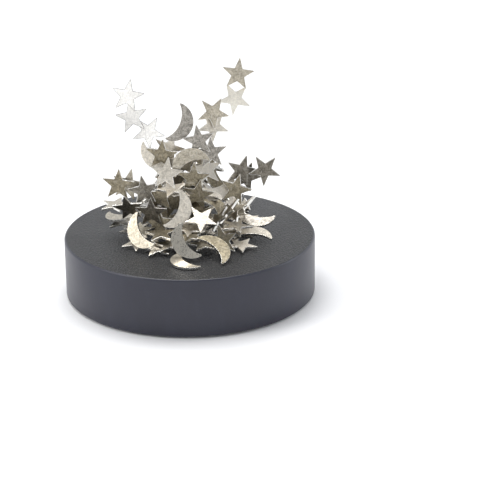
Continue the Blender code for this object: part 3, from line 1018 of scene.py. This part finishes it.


# Plates in the gaps of the front: kind, place above the middle of the base's top in millimetres,
# (facing, tilt, spin) in degrees, painted light and shade level.  Facing 0 looks to the front and
# tilt 90 lies flat.
GAP_PLATES = (
    ("star", (-8.0, -8.0, 24.0), (0, 78, 20), "pale"),
    ("star", (-12.5, -6.5, 22.5), (-20, 88, 0), "softly_lit"),
    ("star", (-4.0, -8.0, 22.5), (20, 96, 10), "softly_lit"),
    ("star", (-6.0, -9.0, 20.5), (-10, 92, 30), "pale"),
    ("moon", (8.0, -9.0, 17.5), (20, 80, 160), "pale"),
    ("star", (9.0, -9.5, 15.0), (10, 90, 0), "softly_lit"),
    ("star", (11.5, -7.0, 17.0), (40, 5, 12), "shaded_brown"),
    ("moon", (15.5, -4.0, 18.5), (68, 6, 0), "shaded_brown"),
    ("moon", (19.5, -3.5, 15.5), (74, 24, 10), "pale"),
    ("star", (24.0, -3.0, 15.0), (-58, 40, 30), "shaded_warm"),
    ("star", (19.0, -6.0, 12.0), (-55, 42, 20), "softly_lit"),
    ("star", (17.5, -12.0, 4.5), (10, 84, 0), "pale"),
    ("star", (20.0, -10.0, 7.0), (20, 86, 30), "softly_lit"),
    ("star", (14.0, -14.5, 6.5), (0, 92, 15), "pale"),
    ("moon", (17.0, -16.0, 8.5), (10, 84, 100), "softly_lit"),
    ("star", (16.0, -14.0, 11.0), (-50, 40, 10), "shaded_brown"),
    ("star", (7.0, -24.0, 2.2), (0, 86, 10), "shaded_warm"),
    ("star", (3.5, -21.5, 5.0), (-10, 84, 25), "shaded_brown"),
    ("moon", (9.5, -20.0, 6.5), (10, 80, 90), "softly_lit"),
    ("star", (-9.0, -21.5, 5.5), (0, 84, 5), "shaded_warm"),
    ("star", (-11.0, -18.5, 8.0), (-20, 80, 20), "shaded_brown"),
    ("moon", (-19.0, -14.5, 11.0), (-20, 25, -60), "shaded_brown"),
    ("star", (-14.0, -17.0, 10.0), (10, 12, 10), "shaded_brown"),
    ("star", (-8.5, -9.0, 13.0), (30, 66, 0), "softly_lit"),
    ("star", (-10.0, -10.0, 10.5), (0, 86, 12), "shaded_warm"),
    ("star", (-22.0, -3.0, 18.0), (70, 10, 0), "pale"),
    ("star", (-31.0, 0.0, 13.0), (-20, 84, 0), "softly_lit"),
    ("star", (-30.0, 2.0, 7.0), (-30, 84, 20), "deep_shade"),
    ("star", (-1.0, -20.0, 9.0), (0, 84, 30), "softly_lit"),
    ("moon", (0.0, -16.0, 8.0), (0, 78, 80), "shaded_brown"),
    ("star", (4.0, 3.0, 31.5), (0, -15, 10), "shaded_brown"),
    ("star", (-22.0, -12.0, 6.0), (-20, 82, 15), "shaded_warm"),
    ("star", (-20.0, -9.0, 9.0), (-10, 88, 25), "pale"),
    ("star", (-18.0, -21.0, 3.0), (-10, 84, 30), "softly_lit"),
)

# Outline of the heap seen from the front: (x, height above the base), in millimetres
HEAP_OUTLINE = ((-37, 0), (-33, 9), (-24, 16), (-17, 26), (-12, 36), (-2, 40), (10, 39),
                (16, 30), (26, 22), (33, 13), (38, 0))
FRONT_SLOPE = math.tan(math.radians(21.0))
TO_VIEWER = Vector((0.0, -1.0, FRONT_SLOPE)).normalized()


def height_limit(x):
    """Height of the heap's outline at x, in metres."""
    for (x_left, z_left), (x_right, z_right) in zip(HEAP_OUTLINE, HEAP_OUTLINE[1:]):
        if x_left * MM <= x <= x_right * MM:
            share = (x / MM - x_left) / (x_right - x_left)
            return (z_left + share * (z_right - z_left)) * MM
    return 0.0


def plate_tree(plate):
    """Search tree of a finished plate's own mesh."""
    faces = [face.vertices[:] for face in plate.data.polygons]
    return BVHTree.FromPolygons([vert.co for vert in plate.data.vertices], faces)


def is_inside_outline(heap, kind, pose):
    """Whether a plate stays below the heap's outline as seen from the front, a little from above."""
    for corner in heap.shapes[kind][0]:
        spot = pose @ corner
        if spot.z - BASE_TOP + spot.y * FRONT_SLOPE > height_limit(spot.x):
            return False
    return True


def plate_at(place, angles):
    """Pose from a place in millimetres above the base and (facing, tilt, spin) in degrees."""
    facing, tilt, spin = (math.radians(angle) for angle in angles)
    normal = Vector((math.sin(facing) * math.cos(tilt), -math.cos(facing) * math.cos(tilt),
                     math.sin(tilt)))
    right = Vector((math.cos(facing), math.sin(facing), 0.0))
    up = normal.cross(right)
    top = math.cos(spin) * up - math.sin(spin) * right
    centre = Vector(place) * MM + Vector((0, 0, BASE_TOP))
    return pose_from_axes(top.cross(normal), top, normal, centre)


def draw_kind(rng):
    return "star" if rng.random() < STAR_SHARE else "moon"


def fill_gaps(heap, rng):
    """The plates between the front ones, each moved a little until it is clear."""
    found = []
    for kind, place, angles, light_and_shade in GAP_PLATES:
        pose = plate_at(place, angles)
        for attempt in range(GAP_TRIES):
            reach = GAP_SHIFT * attempt ** 0.5
            shift = Vector([rng.uniform(-reach, reach) for _ in range(3)])
            trial = Matrix.Translation(shift) @ pose
            if heap.is_clear(kind, trial):
                heap.add(kind, trial)
                found.append((kind, trial, light_and_shade))
                break
    return found


CORE_SINK = 1.4                       # above 1, more plates lie low
CORE_TAPER = 0.62                     # share of the radius lost at the top
CORE_DEPTH = 0.86                     # depth of the heap over its width
CORE_BACK = 3.0 * MM
CORE_LIFT = 1.2 * MM
CORE_SPREAD = 0.38


def fill_core(heap, settings, rng):
    """Plates between and behind the outer ones, wherever there is room."""
    found = []
    for _ in range(settings.inside):
        kind = draw_kind(rng)
        angle = rng.uniform(0, math.tau)
        height = rng.random() ** CORE_SINK
        limit = settings.radius * (1 - CORE_TAPER * height)
        reach = limit * math.sqrt(rng.random())
        place = Vector((reach * math.cos(angle), reach * math.sin(angle) * CORE_DEPTH + CORE_BACK,
                        BASE_TOP + CORE_LIFT + height * settings.height))
        outwards = Vector((math.cos(angle), math.sin(angle), 0.45 + 1.2 * (1 - height)))
        normal = random_tilt(rng, outwards.normalized(), CORE_SPREAD)
        pose = turned_pose(normal, rng.uniform(0, math.tau), place)
        if (is_inside_outline(heap, kind, pose) and heap.is_clear(kind, pose)
                and heap.is_mostly_hidden(kind, pose)):
            heap.add(kind, pose)
            found.append((kind, pose, rng.choice(LOOSE_LIGHT_AND_SHADE)))
    return found


FOOT_RANGES = ((-26, 27), (-27, 2), (0.8, 13.0))     # across, back and up, in millimetres
FOOT_LEAN = 12                                       # sideways lean for each metre off the middle
FOOT_SPREAD = 0.3


def fill_foot(heap, settings, rng):
    """Nearly flat plates stacked at the front foot, between and under the outer ones."""
    found = []
    for _ in range(settings.foot):
        kind = draw_kind(rng)
        place = Vector([rng.uniform(low, high) for low, high in FOOT_RANGES]) * MM
        place.z += BASE_TOP
        lean = Vector((place.x * FOOT_LEAN, -0.25, 1.0 - rng.random() * 0.5))
        normal = random_tilt(rng, lean.normalized(), FOOT_SPREAD)
        pose = turned_pose(normal, rng.uniform(0, math.tau), place)
        if heap.is_clear(kind, pose) and heap.is_mostly_hidden(kind, pose, FOOT_HIDDEN_SHARE):
            heap.add(kind, pose)
            found.append((kind, pose, rng.choice(LOOSE_LIGHT_AND_SHADE)))
    return found


DROP_TARGET = Vector((0.0, 4.0 * MM, BASE_TOP + 7.0 * MM))
DROP_HEIGHT = 60 * MM
DROP_STEP = 0.5 * MM
DROP_SPREAD = 0.33


def drop_on_back(heap, settings, rng):
    """Plates that fly in from behind and stick where they first touch."""
    found = []
    for _ in range(settings.outside):
        kind = draw_kind(rng)
        angle = rng.uniform(math.radians(-12), math.radians(192))
        climb = math.radians(rng.uniform(2, 72))
        towards = Vector((math.cos(angle) * math.cos(climb), math.sin(angle) * math.cos(climb),
                          math.sin(climb)))
        start = DROP_TARGET + towards * DROP_HEIGHT
        normal = random_tilt(rng, (towards + Vector((0, 0, 0.5))).normalized(), DROP_SPREAD)
        pose = turned_pose(normal, rng.uniform(0, math.tau), start)
        resting = None
        for count in range(int(DROP_HEIGHT / DROP_STEP)):
            trial = Matrix.Translation(-towards * DROP_STEP * count) @ pose
            if not heap.is_clear(kind, trial):
                break
            resting = trial
        if (resting is None or not is_inside_outline(heap, kind, resting)
                or not heap.is_mostly_hidden(kind, resting)):
            continue
        offset = resting.translation - DROP_TARGET
        flat = math.hypot(offset.x, offset.y) / settings.radius
        if flat ** 2 + (offset.z / settings.height) ** 2 < 1.0:
            heap.add(kind, resting)
            found.append((kind, resting, rng.choice(LOOSE_LIGHT_AND_SHADE)))
    return found


# ---------------------------------------------------------------- stage

CAMERA_AIM = Vector((26.4, 0.0, 17.8)) * MM
CAMERA_ROLL = math.radians(-0.5)
SENSOR_WIDTH = 36.0                                  # millimetres
FLOOR_SIZE = 6.0
LIGHT_TARGET = Vector((0.0, 0.0, 0.04))
WALL_TOP, CEILING_START = 0.36, 0.8                  # rise of the view direction
ROOM_COLOUR = (0.95, 0.97, 1.0, 1.0)
# name, place, size, share of the key light's power, colour
SOFTBOXES = (
    ("softbox_top", (-0.10, 0.30, 1.15), (0.8, 0.8), 1.0, (1.0, 1.0, 1.0)),
    ("softbox_left", (-0.95, -0.25, 0.80), (0.45, 0.7), 0.45, (1.0, 0.985, 0.96)),
    ("softbox_right", (0.95, 0.30, 0.60), (0.35, 0.6), 0.2, (0.96, 0.98, 1.0)),
)


def add_area_light(name, place, size, power, colour):
    light = bpy.data.lights.new(name, "AREA")
    light.shape = "RECTANGLE"
    light.size, light.size_y = size
    light.energy = power
    light.color = colour
    obj = bpy.data.objects.new(name, light)
    bpy.context.scene.collection.objects.link(obj)
    obj.location = place
    obj.rotation_euler = (LIGHT_TARGET - Vector(place)).to_track_quat("-Z", "Y").to_euler()


def build_floor(settings):
    deselect_all()
    bpy.ops.mesh.primitive_plane_add(size=FLOOR_SIZE, location=(0, 0, 0))
    floor = bpy.context.object
    floor.name = "studio_floor"
    settle_transform(floor)
    material, _, shader = new_material("pale_floor", 0.75)
    shader.inputs["Base Color"].default_value = (*settings.floor_colour, 1.0)
    floor.data.materials.append(material)


def build_camera(settings):
    """Camera in front of the base, aimed a little to the right of its foot."""
    centre = Vector((0.0, 0.0, BASE_TOP))
    place = centre + settings.distance * Vector((0.0, -math.cos(settings.elevation),
                                                 math.sin(settings.elevation)))
    camera = bpy.data.cameras.new("studio_camera")
    camera.lens = settings.lens
    camera.sensor_width = SENSOR_WIDTH
    camera.clip_start = 0.05
    camera.clip_end = 20.0
    obj = bpy.data.objects.new("studio_camera", camera)
    bpy.context.scene.collection.objects.link(obj)
    look = (CAMERA_AIM - place).to_track_quat("-Z", "Y")
    roll = Matrix.Rotation(CAMERA_ROLL, 3, "Z").to_quaternion()
    obj.matrix_world = Matrix.Translation(place) @ (look @ roll).to_matrix().to_4x4()
    bpy.context.scene.camera = obj


def build_light(settings):
    """A pale room with a dim ceiling, and softboxes above, to the left and to the right."""
    world = bpy.data.worlds.new("studio")
    world.use_nodes = True
    tree = world.node_tree
    background = tree.nodes["Background"]
    background.inputs["Color"].default_value = ROOM_COLOUR
    direction = tree.nodes.new("ShaderNodeTexCoord")
    parts = tree.nodes.new("ShaderNodeSeparateXYZ")
    tree.links.new(direction.outputs["Generated"], parts.inputs["Vector"])
    strength = add_range(tree, parts.outputs["Z"], WALL_TOP, CEILING_START,
                         settings.room_light, settings.ceiling_light)
    tree.links.new(strength, background.inputs["Strength"])
    bpy.context.scene.world = world
    for name, place, size, share, colour in SOFTBOXES:
        add_area_light(name, place, size, share * settings.key_light, colour)
    bpy.context.scene.view_settings.view_transform = "Standard"


# ---------------------------------------------------------------- operators

class SCULPTURE_OT_base_shell(Operator):
    """Build the housing with its grained top and smooth wall"""
    bl_idname = "sculpture.base_shell"
    bl_label = "Base Shell"

    def execute(self, context):
        build_shell(context.scene.sculpture_base)
        return {"FINISHED"}


class SCULPTURE_OT_base_inside(Operator):
    """Finish the magnet, keeper, cushion, cover, screws and foot pad"""
    bl_idname = "sculpture.base_inside"
    bl_label = "Base Inside"

    def execute(self, context):
        build_inside()
        build_cushion()
        return {"FINISHED"}


class SCULPTURE_OT_loose_stars(Operator):
    """Stamp the loose stars and put each one where its CAD node lies"""
    bl_idname = "sculpture.loose_stars"
    bl_label = "Loose Stars"

    def execute(self, context):
        master = cut_star(context.scene.sculpture_plates)
        for index, node in enumerate(STARS):
            plate = copy_plate(master, star_pose(node), node + "_plate", light_and_shade_for(node, index))
            hand_over(plate, node, [node])
        bpy.data.objects.remove(master, do_unlink=True)
        return {"FINISHED"}


class SCULPTURE_OT_loose_moons(Operator):
    """Stamp the loose moons and put each one where its CAD node lies"""
    bl_idname = "sculpture.loose_moons"
    bl_label = "Loose Moons"

    def execute(self, context):
        plates = context.scene.sculpture_plates
        master = cut_moon(plates)
        for index, node in enumerate(MOONS):
            pose = moon_pose(node, plates)
            plate = copy_plate(master, pose, node + "_plate", light_and_shade_for(node, index))
            hand_over(plate, node, [node])
        bpy.data.objects.remove(master, do_unlink=True)
        return {"FINISHED"}


class SCULPTURE_OT_heap_fill(Operator):
    """Fill the core and the back of the heap with plates that stay on the base"""
    bl_idname = "sculpture.heap_fill"
    bl_label = "Heap Fill"

    def execute(self, context):
        plates, settings = context.scene.sculpture_plates, context.scene.sculpture_heap
        heap = Heap(plates, settings.gap)
        nodes = [("star", node, star_pose(node)) for node in STARS]
        nodes += [("moon", node, moon_pose(node, plates)) for node in MOONS]
        for kind, node, pose in nodes:
            heap.add_front(kind, pose)
            for moved in pulled_poses(node, pose):
                heap.add(kind, moved)
        rng = random.Random(settings.seed)
        found = fill_gaps(heap, rng)
        found += fill_foot(heap, settings, rng)
        found += fill_core(heap, settings, rng)
        found += drop_on_back(heap, settings, rng)
        masters = {"star": cut_star(plates), "moon": cut_moon(plates)}
        finished = [plate_tree(bpy.data.objects[node + "_plate"]) for node in STARS + MOONS]
        for index, (kind, pose, light_and_shade) in enumerate(found):
            plate = copy_plate(masters[kind], pose, f"heap_{kind}_{index + 1:03d}", light_and_shade)
            tree = plate_tree(plate)
            if any(tree.overlap(other) for other in finished):
                bpy.data.objects.remove(plate, do_unlink=True)
                continue
            finished.append(tree)
            hand_over(plate, "base")
        for master in masters.values():
            bpy.data.objects.remove(master, do_unlink=True)
        return {"FINISHED"}


class SCULPTURE_OT_stage(Operator):
    """Add the floor, the soft studio light and the camera"""
    bl_idname = "sculpture.stage"
    bl_label = "Stage"

    def execute(self, context):
        build_floor(context.scene.sculpture_stage)
        build_light(context.scene.sculpture_stage)
        build_camera(context.scene.sculpture_stage)
        return {"FINISHED"}


OPERATORS = (SCULPTURE_OT_base_shell, SCULPTURE_OT_base_inside, SCULPTURE_OT_loose_stars,
             SCULPTURE_OT_loose_moons, SCULPTURE_OT_heap_fill, SCULPTURE_OT_stage)


class SCULPTURE_PT_panel(Panel):
    """Lists the steps that build the sculpture"""
    bl_idname = "SCULPTURE_PT_panel"
    bl_label = "Magnetic Sculpture"
    bl_space_type = "VIEW_3D"
    bl_region_type = "UI"
    bl_category = "Sculpture"

    def draw(self, context):
        for operator in OPERATORS:
            self.layout.operator(operator.bl_idname)


SETTINGS = {"sculpture_base": BaseSettings, "sculpture_plates": PlateSettings,
            "sculpture_heap": HeapSettings, "sculpture_stage": StageSettings}


def register():
    for cls in (*SETTINGS.values(), *OPERATORS, SCULPTURE_PT_panel):
        bpy.utils.register_class(cls)
    for name, cls in SETTINGS.items():
        setattr(bpy.types.Scene, name, PointerProperty(type=cls))


def unregister():
    for name in SETTINGS:
        delattr(bpy.types.Scene, name)
    for cls in reversed((*SETTINGS.values(), *OPERATORS, SCULPTURE_PT_panel)):
        bpy.utils.unregister_class(cls)


def main():
    register()
    bpy.ops.sculpture.base_shell()
    bpy.ops.sculpture.base_inside()
    bpy.ops.sculpture.loose_stars()
    bpy.ops.sculpture.loose_moons()
    bpy.ops.sculpture.heap_fill()
    bpy.ops.sculpture.stage()


if __name__ == "__main__":
    main()
